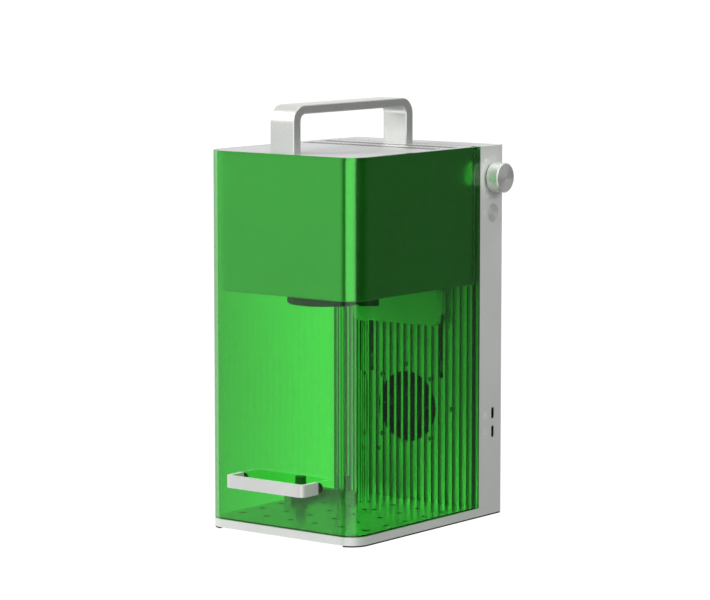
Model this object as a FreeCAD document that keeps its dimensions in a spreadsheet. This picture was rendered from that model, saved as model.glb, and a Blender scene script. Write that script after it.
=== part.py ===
import FreeCAD, Part
import math
import os
import re
import Sketcher

# A desk-top laser engraver: a rear column with a fluted wall, a low frame with a bored work
# plate, a laser head with a carry handle that rides up and down on a lead screw, and a green
# safety cover that slides up around the head.
#
# Places are given as x from the middle plane, y back from the cover's front face and z up from
# the frame's underside.  The model's origin is on the floor under the middle of the footprint,
# +Z up, the front facing -Y.

SIZES = {
    # whole machine
    "width": 152.2, "depth": 196.5, "body_height": 305, "cover_depth": 165.8,
    "corner": 16.2, "wall": 3, "gap": 0.4, "fit": 0.05,
    # frame, plates and column
    "pad_thick": 1.2, "pad_notch": 13, "rim_height": 6.7, "rim_wall": 3.4, "ledge": 9,
    "sheet": 1, "plate_thick": 3, "plate_top": 7.6, "plate_end": 164, "cap_thick": 2,
    # work plate holes
    "grid_pitch": 25, "grid_front": 30.6, "hole_radius": 1.25,
    # fluted wall
    "rib_pitch": 7.2, "rib_width": 2.3, "rib_face": 164.4, "rib_depth": 2.2, "panel_thick": 2.2,
    "panel_half": 72.7, "slot_x": 36, "slot_width": 4.8, "slot_low": 111.5, "slot_high": 240,
    "rail_inner": 67.3, "rail_width": 2.3, "rail_front": 165.2,
    "back_thick": 2, "flange_inner": 66, "flange_thick": 3.5,
    "wall_screw": 1.1, "wall_head": 1.9, "adapter_hole": 1.6,
    # exhaust
    "exhaust_z": 84.8, "exhaust_radius": 29.5, "big_fan": 60, "big_fan_thick": 15, "duct_radius": 27,
    "big_fan_screws": 50, "grille_pitch": 6, "grille_slot": 3.4,
    # lift
    "lift_y": 181, "rod_x": 50, "rod_radius": 3, "screw_radius": 3, "journal": 2,
    "bracket_half": 58, "bracket_deep": 16, "low_bracket_z": 115.4, "low_bracket_high": 10,
    "top_bracket_z": 262, "top_bracket_high": 9, "motor_side": 20, "motor_high": 28,
    "bridge_z": 190, "bridge_high": 24, "bearing_radius": 6, "bearing_high": 19, "nut_radius": 5,
    "arm_width": 4, "arm_low": 165, "hanger_half": 41.4, "hanger_front": 150.7, "hanger_thick": 6.6,
    "hanger_low": 156.5, "hanger_high": 216,
    # controls and sockets on the column's right side
    "side_y": 183.8, "knob_z": 279, "knob_radius": 12.25, "knob_start": 1.3, "knob_end": 12.6,
    "spindle_radius": 3, "button_z": 249.8, "button_radius": 7.1, "button_thick": 2.5,
    "socket_y": 184.8, "socket_high_z": 83.9, "socket_low_z": 68.4, "socket_length": 10.4,
    "socket_width": 4, "inlet_x": 50, "inlet_z": 26,
    # safety cover
    "strap_half": 40, "strap_out": 20.6, "strap_thick": 3.8, "strap_low": 38.2, "strap_high": 9.8,
    "washer_out": 1, "washer_in": 0.6, "strap_screw_z": 43.1,
    # laser head
    "head_half": 70.5, "head_front": 5.5, "head_back": 164, "head_low": 192, "head_wall": 2,
    "head_corner": 13, "lid_half": 72.6, "lid_front": 3.5, "lid_back": 160, "lid_thick": 2.5,
    "lid_corner": 12.6,
    "floor_thick": 3, "vent_width": 2.6, "vent_length": 14, "vent_pitch": 5, "vent_front": 119,
    "vent_back": 142,
    "handle_width": 23.9, "handle_front": 3.8, "handle_back": 160.2, "handle_top": 343,
    "handle_leg": 9.4, "handle_bar": 7,
    # optics
    "lens_y": 60, "lens_radius": 30.7, "lens_low": 182, "lens_bore": 24, "pointer_x": 38,
    "pointer_y": 66.5, "pointer_radius": 7, "beam_y": 78, "beam_z": 214, "galvo_half": 26,
    "galvo_high": 43, "motor_radius": 7, "motor_length": 28, "shaft_radius": 1.5,
    "laser_high": 37, "sink_base": 4, "sink_high": 19, "small_fan": 40, "small_fan_thick": 10,
    "small_fan_screws": 32,
    # fence
    "fence_wide": 7.2, "fence_high": 6.5, "thumb_radius": 4.5, "thumb_high": 13.1,
}

doc = FreeCAD.newDocument("laser_engraver")
sheet = doc.addObject("Spreadsheet::Sheet", "sizes")
for row, (alias, value) in enumerate(SIZES.items(), start=1):
    sheet.set("A%d" % row, alias)
    sheet.set("B%d" % row, str(value))
    sheet.setAlias("B%d" % row, alias)
doc.recompute()

ALIAS = re.compile(r"[a-z_]{2,}")
nodes = []


def formula(value):
    """An expression in which each name is a cell of the sheet."""
    return ALIAS.sub(lambda word: "sizes." + word.group() if word.group() in SIZES else word.group(),
                     str(value))


def bind(item, prop, value):
    """Tie one property of a document object to a formula."""
    item.setExpression(prop, formula(value))


def place(item, x, y, z):
    """Put an object at a place counted from the middle, the front face and the frame's underside."""
    bind(item, "Placement.Base.x", x)
    bind(item, "Placement.Base.y", "%s - depth / 2" % y)
    bind(item, "Placement.Base.z", "%s + pad_thick" % z)


def keep(item, label):
    """Name a finished sub-part, which gives its file its name."""
    item.Label = label
    nodes.append(item)
    return item


# ---------------------------------------------------------------- primitives

AXES = {"x": FreeCAD.Vector(1, 0, 0), "y": FreeCAD.Vector(0, 1, 0), "z": FreeCAD.Vector(0, 0, 1)}


def box(name, x, y, z, size_x, size_y, size_z):
    item = doc.addObject("Part::Box", name)
    for prop, value in (("Length", size_x), ("Width", size_y), ("Height", size_z)):
        bind(item, prop, value)
    place(item, x, y, z)
    return item


def centred_box(name, x, y, z, size_x, size_y, size_z):
    """A box whose middle in x and y, and underside in z, are given."""
    return box(name, "%s - (%s) / 2" % (x, size_x), "%s - (%s) / 2" % (y, size_y), z,
               size_x, size_y, size_z)


def rod(name, x, y, z, radius, length, axis="z"):
    """A cylinder that starts at a place and runs along one axis."""
    item = doc.addObject("Part::Cylinder", name)
    bind(item, "Radius", radius)
    bind(item, "Height", length)
    item.Placement.Rotation = FreeCAD.Rotation(AXES["z"], AXES[axis])
    place(item, x, y, z)
    return item


def cut(name, base, tools):
    item = doc.addObject("Part::Cut", name)
    item.Base = base
    item.Tool = tools[0] if len(tools) == 1 else fuse(name + "_tools", tools)
    return item


def fuse(name, shapes):
    item = doc.addObject("Part::MultiFuse", name)
    item.Shapes = shapes
    return item


def group(name, shapes):
    """Separate solids kept together in one sub-part."""
    item = doc.addObject("Part::Compound", name)
    item.Links = shapes
    return item


def screw(name, x, y, z, axis, shank_radius, shank_length, head_radius, head_length, side=1):
    """A screw whose head stands on one side of a place along the axis, and its shank on the other."""
    lengths = {"head": head_length, "shank": shank_length}
    radii = {"head": head_radius, "shank": shank_radius}
    behind = "shank" if side > 0 else "head"
    parts = []
    for part in lengths:
        spot = {"x": x, "y": y, "z": z}
        if part == behind:
            spot[axis] = "%s - (%s)" % (spot[axis], lengths[part])
        parts.append(rod("%s_%s" % (name, part), spot["x"], spot["y"], spot["z"],
                         radii[part], lengths[part], axis))
    return fuse(name, parts)


# ---------------------------------------------------------------- part design

class Piece:
    """A PartDesign body with a few ways to add sketches and features."""

    def __init__(self, name, x="0", y="0", z="0"):
        self.body = doc.addObject("PartDesign::Body", name)
        place(self.body, x, y, z)
        self.name = name
        self.count = 0

    def origin(self, role):
        return [item for item in self.body.Origin.OriginFeatures if item.Role == role][0]

    def sketch(self, plane, offset="0"):
        """An empty sketch on an origin plane, moved along the plane's normal."""
        self.count += 1
        item = self.body.newObject("Sketcher::SketchObject", "%s_sketch_%d" % (self.name, self.count))
        item.AttachmentSupport = (self.origin(plane + "_Plane"), [""])
        item.MapMode = "FlatFace"
        bind(item, "AttachmentOffset.Base.z", offset)
        return item

    def feature(self, kind, profile, length=None, back=False, through=False):
        """Pad or pocket a sketch, which has to be in its place before the feature reads it."""
        doc.recompute()
        self.count += 1
        item = self.body.newObject("PartDesign::" + kind, "%s_%s_%d" % (self.name, kind, self.count))
        item.Profile = profile
        if through:
            item.Type = "ThroughAll"
        else:
            bind(item, "Length", length)
        item.Reversed = back
        doc.recompute()
        return item

    def pad(self, profile, length, back=False):
        return self.feature("Pad", profile, length, back)

    def pocket(self, profile, length=None, back=False):
        """Cut a sketch out, and make sure that material went."""
        before = self.body.Tip.Shape.Volume
        item = self.feature("Pocket", profile, length, back, through=length is None)
        if item.Shape.Volume > before - 0.01:
            raise RuntimeError("%s cuts nothing" % item.Name)
        return item

    def row(self, original, axis, step, number):
        """Repeat a feature along an origin axis."""
        self.count += 1
        item = self.body.newObject("PartDesign::LinearPattern", "%s_row_%d" % (self.name, self.count))
        item.Originals = [original]
        item.Direction = (self.origin(axis + "_Axis"), [""])
        bind(item, "Length", "%s * %d" % (step, number - 1))
        item.Occurrences = number
        self.body.Tip = item
        doc.recompute()
        return item

    def revolve(self, profile, axis):
        doc.recompute()
        self.count += 1
        item = self.body.newObject("PartDesign::Revolution", "%s_turn_%d" % (self.name, self.count))
        item.Profile = profile
        item.ReferenceAxis = (self.origin(axis + "_Axis"), [""])
        item.Angle = 360
        doc.recompute()
        return item

    def round(self, kind, size, wanted):
        """Fillet or chamfer the edges of the tip that the test picks."""
        base = self.body.Tip
        edges = ["Edge%d" % (i + 1) for i, edge in enumerate(base.Shape.Edges) if wanted(edge)]
        item = self.body.newObject("PartDesign::" + kind, "%s_%s" % (self.name, kind))
        item.Base = (base, edges)
        bind(item, "Radius" if kind == "Fillet" else "Size", size)
        self.body.Tip = item
        doc.recompute()
        return item

    def keep(self, label=None):
        return keep(self.body, label or self.name)


def fixed(sketch, kind, *where):
    """Add a constraint whose last entry is the formula of its value, which it has from the start."""
    *ends, value = where
    number = sketch.addConstraint(Sketcher.Constraint(kind, *ends, value_of(value)))
    sketch.setExpression("Constraints[%d]" % number, formula(value))


def line(sketch, start, end):
    return sketch.addGeometry(Part.LineSegment(FreeCAD.Vector(*start, 0), FreeCAD.Vector(*end, 0)))


def polygon(sketch, corners):
    """A closed outline of straight lines through corners given as pairs of formulas."""
    spots = [(value_of(u), value_of(v)) for u, v in corners]
    lines = [line(sketch, spots[i - 1], spots[i]) for i in range(len(spots))]
    for i, number in enumerate(lines):
        following = lines[(i + 1) % len(lines)]
        sketch.addConstraint(Sketcher.Constraint("Coincident", number, 2, following, 1))
    for number, (u, v) in zip(lines, corners):
        fixed(sketch, "DistanceX", -1, 1, number, 2, u)
        fixed(sketch, "DistanceY", -1, 1, number, 2, v)


def rectangle(sketch, left, low, right, high):
    polygon(sketch, [(left, low), (right, low), (right, high), (left, high)])


def circle(sketch, u, v, radius):
    number = sketch.addGeometry(Part.Circle(FreeCAD.Vector(value_of(u), value_of(v), 0),
                                            FreeCAD.Vector(0, 0, 1), value_of(radius)))
    fixed(sketch, "DistanceX", -1, 1, number, 3, u)
    fixed(sketch, "DistanceY", -1, 1, number, 3, v)
    fixed(sketch, "Radius", number, radius)


def value_of(text):
    """The number that a formula has at the sheet's present values."""
    words = ALIAS.sub(lambda word: str(SIZES.get(word.group(), word.group())), str(text))
    return FreeCAD.Units.Quantity(words).Value


def rounded_end(sketch, left, right, base, end, radius):
    """A rectangle from base to end whose two corners at the end are round."""
    u_low, u_high, v_base, v_end, r = (value_of(item) for item in (left, right, base, end, radius))
    down = v_end < v_base
    bend = v_end + r if down else v_end - r
    middle_angle = 1.5 * math.pi if down else 0.5 * math.pi
    first = line(sketch, (u_low, v_base), (u_low, bend))
    last = line(sketch, (u_high, bend), (u_high, v_base))
    across = line(sketch, (u_low + r, v_end), (u_high - r, v_end))
    close = line(sketch, (u_high, v_base), (u_low, v_base))
    arcs = []
    for u, sign in ((u_low + r, -1 if down else 1), (u_high - r, 1 if down else -1)):
        centre = Part.Circle(FreeCAD.Vector(u, bend, 0), FreeCAD.Vector(0, 0, 1), r)
        side = middle_angle + sign * math.pi / 2
        arcs.append(sketch.addGeometry(Part.ArcOfCircle(centre, min(middle_angle, side),
                                                        max(middle_angle, side))))
    side_ends = (1, 2) if down else (2, 1)
    for number, arc, corner, end_at in ((first, arcs[0], 2, side_ends[0]),
                                        (across, arcs[0], 1, side_ends[1]),
                                        (across, arcs[1], 2, side_ends[0]),
                                        (last, arcs[1], 1, side_ends[1])):
        sketch.addConstraint(Sketcher.Constraint("Tangent", number, corner, arc, end_at))
    for a, b in (((last, 2), (close, 1)), ((close, 2), (first, 1))):
        sketch.addConstraint(Sketcher.Constraint("Coincident", a[0], a[1], b[0], b[1]))
    for kind, number in (("Vertical", first), ("Vertical", last), ("Horizontal", across),
                         ("Horizontal", close)):
        sketch.addConstraint(Sketcher.Constraint(kind, number))
    sketch.addConstraint(Sketcher.Constraint("Equal", arcs[0], arcs[1]))
    fixed(sketch, "DistanceX", -1, 1, first, 1, left)
    fixed(sketch, "DistanceX", -1, 1, last, 2, right)
    fixed(sketch, "DistanceY", -1, 1, first, 1, base)
    fixed(sketch, "DistanceY", -1, 1, across, 1, end)
    fixed(sketch, "Radius", arcs[0], radius)


def front_rounded(sketch, half, front, back, radius):
    """An outline about the middle plane whose two front corners are round."""
    rounded_end(sketch, "-(%s)" % half, half, back, front, radius)


def long_hole(sketch, u, v, width, length):
    """An upright slot with round ends about a centre."""
    u0, v0, r, half = (value_of(item) for item in (u, v, "(%s) / 2" % width,
                                                   "((%s) - (%s)) / 2" % (length, width)))
    normal = FreeCAD.Vector(0, 0, 1)
    top = sketch.addGeometry(Part.ArcOfCircle(
        Part.Circle(FreeCAD.Vector(u0, v0 + half, 0), normal, r), 0, math.pi))
    low = sketch.addGeometry(Part.ArcOfCircle(
        Part.Circle(FreeCAD.Vector(u0, v0 - half, 0), normal, r), math.pi, 2 * math.pi))
    left = line(sketch, (u0 - r, v0 + half), (u0 - r, v0 - half))
    right = line(sketch, (u0 + r, v0 - half), (u0 + r, v0 + half))
    for a, b in (((top, 2), (left, 1)), ((left, 2), (low, 1)), ((low, 2), (right, 1)),
                 ((right, 2), (top, 1))):
        sketch.addConstraint(Sketcher.Constraint("Tangent", a[0], a[1], b[0], b[1]))
    sketch.addConstraint(Sketcher.Constraint("Vertical", left))
    fixed(sketch, "DistanceX", -1, 1, top, 3, u)
    fixed(sketch, "DistanceY", -1, 1, top, 3, "%s + ((%s) - (%s)) / 2" % (v, length, width))
    fixed(sketch, "DistanceY", -1, 1, low, 3, "%s - ((%s) - (%s)) / 2" % (v, length, width))
    fixed(sketch, "Radius", top, "(%s) / 2" % width)


# ---------------------------------------------------------------- frame and base

GRID_STEPS = (-2.5, -1.5, -0.5, 0.5, 1.5, 2.5)
GRID_ROWS = 5
SHEET_SCREWS = [(side, back) for side in (-1, 1) for back in ("24", "98", "180")]
SHEET_SCREW_X = "%d * (width / 2 - ledge + 2.5)"
REAR_SCREWS = [(side, up) for side in (-1, 1) for up in ("14", "108", "202", "296")]
REAR_SCREW_X = "%d * (flange_inner + 3.5)"
BACK_OF_WALL = "rib_face + rib_depth + panel_thick"
FLOOR_TOP = "head_low + floor_thick"


def make_main_frame():
    """The low rim round the work plate and the column's two sides, in one piece."""
    piece = Piece("main_frame")
    outline = piece.sketch("XY")
    front_rounded(outline, "width / 2", "0", "depth", "corner")
    piece.pad(outline, "rim_height")
    opening = piece.sketch("XY", "rim_height")
    front_rounded(opening, "width / 2 - ledge", "ledge", "depth - ledge", "corner - ledge")
    piece.pocket(opening)
    seat = piece.sketch("XY", "rim_height")
    front_rounded(seat, "width / 2 - rim_wall", "rim_wall", "rib_face", "corner - rim_wall")
    piece.pocket(seat, "rim_height - plate_top + plate_thick")
    recess = piece.sketch("XY")
    front_rounded(recess, "width / 2 - rim_wall", "rim_wall", "depth - rim_wall", "corner - rim_wall")
    piece.pocket(recess, "sheet", back=True)
    sides = piece.sketch("XY", "rim_height")
    for side in (-1, 1):
        outer, inner, flange = ("%d * (%s)" % (side, reach) for reach in
                                ("width / 2", "width / 2 - wall", "flange_inner"))
        polygon(sides, [(outer, "cover_depth"), (outer, "depth"), (inner, "depth"),
                        (inner, "depth - back_thick"), (flange, "depth - back_thick"),
                        (flange, "depth - back_thick - flange_thick"),
                        (inner, "depth - back_thick - flange_thick"), (inner, "cover_depth")])
    piece.pad(sides, "body_height - rim_height")
    cap_seat = piece.sketch("XY", "body_height")
    rectangle(cap_seat, "-(width / 2 - wall)", BACK_OF_WALL, "width / 2 - wall", "depth")
    piece.pocket(cap_seat, "cap_thick")
    controls = piece.sketch("YZ", "width / 2")
    circle(controls, "side_y", "knob_z", "spindle_radius + gap")
    circle(controls, "side_y", "button_z", "button_radius + gap / 2")
    for height in ("socket_high_z", "socket_low_z"):
        long_hole(controls, "socket_y", height, "socket_width", "socket_length")
    piece.pocket(controls, "wall + 1")
    sheet_holes = piece.sketch("XY", "rim_height")
    for side, back in SHEET_SCREWS:
        circle(sheet_holes, SHEET_SCREW_X % side, back, "hole_radius")
    piece.pocket(sheet_holes)
    rear_holes = piece.sketch("XZ", "-(depth - back_thick)")
    for side, up in REAR_SCREWS:
        circle(rear_holes, REAR_SCREW_X % side, up, "hole_radius")
    piece.pocket(rear_holes, "flange_thick + 1", back=True)
    piece.keep()


def make_work_plate():
    """The aluminium plate on the frame's ledge, with its square grid of tapped holes."""
    piece = Piece("work_plate")
    outline = piece.sketch("XY", "plate_top - plate_thick")
    front_rounded(outline, "width / 2 - rim_wall - gap", "rim_wall + gap", "plate_end",
                  "corner - rim_wall - gap")
    piece.pad(outline, "plate_thick")
    holes = piece.sketch("XY", "plate_top")
    for step in GRID_STEPS:
        circle(holes, "%s * grid_pitch" % step, "grid_front", "hole_radius")
    piece.row(piece.pocket(holes), "Y", "grid_pitch", GRID_ROWS)
    piece.keep()


def make_bottom_cover():
    piece = Piece("bottom_cover")
    outline = piece.sketch("XY")
    front_rounded(outline, "width / 2 - rim_wall - gap / 2", "rim_wall + gap / 2",
                  "depth - rim_wall - gap / 2", "corner - rim_wall - gap / 2")
    piece.pad(outline, "sheet")
    holes = piece.sketch("XY", "sheet")
    for side, back in SHEET_SCREWS:
        circle(holes, SHEET_SCREW_X % side, back, "hole_radius")
    piece.pocket(holes)
    piece.keep()


def make_base_pad():
    """The dark pad that the machine stands on, with a finger notch in the middle of its front."""
    piece = Piece("base_pad")
    outline = piece.sketch("XY", "-pad_thick")
    front_rounded(outline, "width / 2 - gap / 2", "gap / 2", "depth - gap / 2", "corner - gap / 2")
    piece.pad(outline, "pad_thick")
    notch = piece.sketch("XY")
    rectangle(notch, "-(width / 2 - pad_notch)", "-1", "width / 2 - pad_notch", "pad_notch")
    piece.pocket(notch)
    screw_rooms = piece.sketch("XY")
    for side, back in SHEET_SCREWS:
        circle(screw_rooms, SHEET_SCREW_X % side, back, "wall_head + gap")
    piece.pocket(screw_rooms)
    piece.keep()


def make_bottom_screws():
    screws = [screw("bottom_screw_%d" % i, SHEET_SCREW_X % side, back, "0", "z", "hole_radius - fit",
                    "sheet + 2.6", "wall_head", "0.8", side=-1)
              for i, (side, back) in enumerate(SHEET_SCREWS)]
    keep(group("bottom_screw_group", screws), "bottom_cover_screws")


# ---------------------------------------------------------------- column

RIB_COUNT = 18
WALL_SCREWS = [("big_fan_screws / 2", "exhaust_z + big_fan_screws / 2"),
               ("-big_fan_screws / 2", "exhaust_z + big_fan_screws / 2"),
               ("big_fan_screws / 2", "exhaust_z - big_fan_screws / 2"),
               ("-big_fan_screws / 2", "exhaust_z - big_fan_screws / 2"),
               ("0", "low_bracket_z + low_bracket_high / 2"),
               ("6.5 * rib_pitch", "exhaust_z + 2"), ("-4 * rib_pitch", "46.8")]


def make_ribbed_wall():
    """The fluted back wall of the work chamber, with two lift slots and the exhaust grille."""
    piece = Piece("ribbed_wall")
    panel = piece.sketch("XY", "rim_height")
    rectangle(panel, "-panel_half", "rib_face + rib_depth", "panel_half", BACK_OF_WALL)
    piece.pad(panel, "body_height - rim_height")
    rib = piece.sketch("XY", "rim_height")
    first = "-(%s) * rib_pitch" % ((RIB_COUNT - 1) / 2)
    rectangle(rib, first + " - rib_width / 2", "rib_face", first + " + rib_width / 2",
              "rib_face + rib_depth")
    piece.row(piece.pad(rib, "body_height - rim_height"), "X", "rib_pitch", RIB_COUNT)
    slots = piece.sketch("XZ", "-rib_face")
    for side in (-1, 1):
        rectangle(slots, "%d * slot_x - slot_width / 2" % side, "slot_low",
                  "%d * slot_x + slot_width / 2" % side, "slot_high")
    piece.pocket(slots)
    grille = piece.sketch("XZ", "-(rib_face + rib_depth)")
    circle(grille, "0", "exhaust_z", "exhaust_radius")
    piece.pocket(grille)
    head_rooms = piece.sketch("XZ", "-rib_face")
    for x, z in WALL_SCREWS:
        circle(head_rooms, x, z, "wall_head + gap")
    piece.pocket(head_rooms, "rib_depth")
    holes = piece.sketch("XZ", "-rib_face")
    for x, z in WALL_SCREWS:
        circle(holes, x, z, "wall_screw + fit")
    piece.pocket(holes)
    piece.keep()


def make_wall_screws():
    screws = [screw("wall_screw_%d" % i, x, "rib_face + rib_depth", z, "y", "wall_screw",
                    "panel_thick + 4", "wall_head", "1.6", side=-1)
              for i, (x, z) in enumerate(WALL_SCREWS)]
    keep(group("wall_screw_group", screws), "ribbed_wall_screws")


def make_cover_rails():
    """Two upright black strips near the edges of the fluted wall, beside the safety cover's guides."""
    rails = [box("cover_rail_%d" % i, x, "rail_front", "plate_top", "rail_width",
                 "rib_face + rib_depth - rail_front", "body_height - plate_top")
             for i, x in enumerate(("-rail_inner - rail_width", "rail_inner"))]
    keep(group("cover_rail_group", rails), "cover_rails")


def make_rear_cover():
    """The back panel, with the exhaust slots, the adapter's screw holes and the power inlet's hole."""
    piece = Piece("rear_cover")
    panel = piece.sketch("XZ", "-depth")
    rectangle(panel, "-(width / 2 - wall)", "rim_height", "width / 2 - wall", "body_height - cap_thick")
    piece.pad(panel, "back_thick")
    grille = piece.sketch("XZ", "-(depth - back_thick)")
    for step in range(-4, 5):
        long_hole(grille, "%d * grille_pitch" % step, "exhaust_z", "grille_slot",
                  "2 * sqrt(duct_radius ^ 2 - (%d * grille_pitch) ^ 2)" % abs(step))
    piece.pocket(grille)
    holes = piece.sketch("XZ", "-(depth - back_thick)")
    for side, up in REAR_SCREWS:
        circle(holes, REAR_SCREW_X % side, up, "hole_radius + 0.1")
    for x, z in WALL_SCREWS[:4]:
        circle(holes, x, z, "adapter_hole")
    circle(holes, "inlet_x", "inlet_z", "5.5 + fit")
    piece.pocket(holes)
    piece.keep()


def make_rear_screws():
    screws = [screw("rear_screw_%d" % i, REAR_SCREW_X % side, "depth", up, "y", "hole_radius - fit",
                    "back_thick + flange_thick", "2.3", "1.4")
              for i, (side, up) in enumerate(REAR_SCREWS)]
    keep(group("rear_screw_group", screws), "rear_cover_screws")


def make_column_cap():
    keep(box("cap", "-(width / 2 - wall)", BACK_OF_WALL, "body_height - cap_thick", "width - 2 * wall",
             "depth - (%s)" % BACK_OF_WALL, "cap_thick"), "column_cap")


# ---------------------------------------------------------------- fans

BLADES = 7


def make_fan(prefix, side, thick, hole_pitch, x, y, z, axis):
    """A square fan: a frame with struts and a centre pin, and a bladed rotor that turns on the pin."""
    hub = "0.27 * %s" % side
    frame = Piece(prefix + "_frame_body")
    outline = frame.sketch("XY")
    rectangle(outline, "-%s / 2" % side, "-%s / 2" % side, "%s / 2" % side, "%s / 2" % side)
    frame.pad(outline, thick)
    bore = frame.sketch("XY", thick)
    circle(bore, "0", "0", "%s / 2 - 1.5" % side)
    frame.pocket(bore)
    struts = frame.sketch("XY")
    rectangle(struts, "-%s / 2 + 1" % side, "-1.5", "%s / 2 - 1" % side, "1.5")
    frame.pad(struts, "2")
    cross = frame.sketch("XY")
    rectangle(cross, "-1.5", "-%s / 2 + 1" % side, "1.5", "%s / 2 - 1" % side)
    frame.pad(cross, "2")
    boss = frame.sketch("XY")
    circle(boss, "0", "0", hub)
    frame.pad(boss, "2")
    pin = frame.sketch("XY")
    circle(pin, "0", "0", "shaft_radius")
    frame.pad(pin, "%s - 3" % thick)
    holes = frame.sketch("XY", thick)
    for u in (-1, 1):
        for v in (-1, 1):
            circle(holes, "%d * %s / 2" % (u, hole_pitch), "%d * %s / 2" % (v, hole_pitch),
                   "adapter_hole")
    frame.pocket(holes)
    rotor = Piece(prefix + "_rotor_body")
    disc = rotor.sketch("XY", "2.5")
    circle(disc, "0", "0", hub)
    rotor.pad(disc, "%s - 3.5" % thick)
    blade = rotor.sketch("YZ", hub + " - 1")
    low, high = "3", "%s - 1.5" % thick
    polygon(blade, [("-0.07 * %s - 1" % side, low), ("-0.07 * %s + 0.4" % side, low),
                    ("0.07 * %s + 1" % side, high), ("0.07 * %s - 0.4" % side, high)])
    original = rotor.pad(blade, "%s / 2 - 3 - (%s - 1)" % (side, hub))
    ring = rotor.body.newObject("PartDesign::PolarPattern", prefix + "_blades")
    ring.Originals = [original]
    ring.Axis = (rotor.origin("Z_Axis"), [""])
    ring.Angle = 360
    ring.Occurrences = BLADES
    rotor.body.Tip = ring
    doc.recompute()
    pin_hole = rotor.sketch("XY", thick)
    circle(pin_hole, "0", "0", "shaft_radius + fit")
    rotor.pocket(pin_hole)
    for piece, label in ((frame, "_frame"), (rotor, "_rotor")):
        piece.body.Placement.Rotation = FreeCAD.Rotation(AXES["z"], AXES[axis])
        place(piece.body, x, y, z)
        piece.keep(prefix + label)


def make_exhaust_duct():
    """The collar between the exhaust fan and the back panel."""
    low = BACK_OF_WALL + " + big_fan_thick"
    long = "depth - back_thick - (%s)" % low
    block = box("duct_block", "-big_fan / 2", low, "exhaust_z - big_fan / 2", "big_fan", long, "big_fan")
    holes = [rod("duct_bore", "0", low, "exhaust_z", "duct_radius", long, "y")]
    for i, (x, z) in enumerate(WALL_SCREWS[:4]):
        holes.append(rod("duct_hole_%d" % i, x, low, z, "adapter_hole", long, "y"))
    keep(cut("duct", block, holes), "exhaust_duct")


# ---------------------------------------------------------------- lift

def make_bracket(label, low, high, journal_hole, notched):
    """A block across the column that holds the guide rods and one end of the lead screw."""
    block = box(label + "_block", "-bracket_half", BACK_OF_WALL, low, "2 * bracket_half",
                "lift_y + bracket_deep / 2 - (%s)" % BACK_OF_WALL, high)
    holes = [rod(label + "_screw_hole", "0", "lift_y", low, journal_hole, high)]
    for side in (-1, 1):
        holes.append(rod("%s_rod_hole_%d" % (label, side + 1), "%d * rod_x" % side, "lift_y", low,
                         "rod_radius + fit", high))
        if notched:
            holes.append(centred_box("%s_notch_%d" % (label, side + 1), "%d * slot_x" % side,
                                     BACK_OF_WALL, low, "arm_width + 2.4",
                                     "2 * (lift_y - bracket_deep / 2 + gap - (%s))" % BACK_OF_WALL,
                                     high))
    if notched:
        holes.append(rod(label + "_wall_screw_hole", "0", BACK_OF_WALL, WALL_SCREWS[4][1],
                         "wall_screw + fit", "5", "y"))
    keep(cut(label + "_cut", block, holes), label)


def make_guide_rods():
    rods = [rod("guide_rod_%d" % (side + 1), "%d * rod_x" % side, "lift_y", "low_bracket_z",
                "rod_radius", "top_bracket_z + top_bracket_high - low_bracket_z") for side in (-1, 1)]
    keep(group("guide_rod_group", rods), "guide_rods")


def make_lead_screw():
    """The lift's screw, with a thinner journal at each end."""
    low, high = "low_bracket_z + low_bracket_high + gap", "top_bracket_z - gap"
    thread = rod("screw_thread", "0", "lift_y", low, "screw_radius", "%s - (%s)" % (high, low))
    core = rod("screw_core", "0", "lift_y", "low_bracket_z + 1.6", "journal",
               "top_bracket_z + top_bracket_high + 14.5 - (low_bracket_z + 1.6)")
    keep(fuse("screw_whole", [thread, core]), "lead_screw")


def make_lift_motor():
    low = "top_bracket_z + top_bracket_high"
    block = centred_box("motor_block", "0", "lift_y", low, "motor_side", "motor_side", "motor_high")
    bore = rod("motor_bore", "0", "lift_y", low, "journal + fit", "15")
    keep(cut("motor_cut", block, [bore]), "lift_motor")


def make_lift_bridge():
    """The block behind the wall that carries the nut and the two bearings."""
    block = centred_box("bridge_block", "0", "lift_y", "bridge_z", "2 * bracket_half", "bracket_deep",
                        "bridge_high")
    holes = [rod("bridge_nut_hole", "0", "lift_y", "bridge_z", "nut_radius + fit", "bridge_high")]
    for side in (-1, 1):
        holes.append(rod("bridge_hole_%d" % (side + 1), "%d * rod_x" % side, "lift_y", "bridge_z",
                         "bearing_radius + fit", "bridge_high"))
    keep(cut("bridge_cut", block, holes), "lift_bridge")


def make_lead_nut():
    body = rod("nut_body", "0", "lift_y", "bridge_z", "nut_radius", "bridge_high")
    flange = rod("nut_flange", "0", "lift_y", "bridge_z - 3", "bracket_deep / 2 - gap", "3")
    bore = rod("nut_bore", "0", "lift_y", "bridge_z - 3", "screw_radius + fit", "bridge_high + 3")
    keep(cut("nut_cut", fuse("nut_whole", [body, flange]), [bore]), "lead_nut")


def make_linear_bearings():
    tubes = []
    low = "bridge_z + (bridge_high - bearing_high) / 2"
    for side in (-1, 1):
        x = "%d * rod_x" % side
        outer = rod("bearing_outer_%d" % (side + 1), x, "lift_y", low, "bearing_radius", "bearing_high")
        inner = rod("bearing_inner_%d" % (side + 1), x, "lift_y", low, "rod_radius + fit",
                    "bearing_high")
        tubes.append(cut("bearing_%d" % (side + 1), outer, [inner]))
    keep(group("bearing_group", tubes), "linear_bearings")


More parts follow.
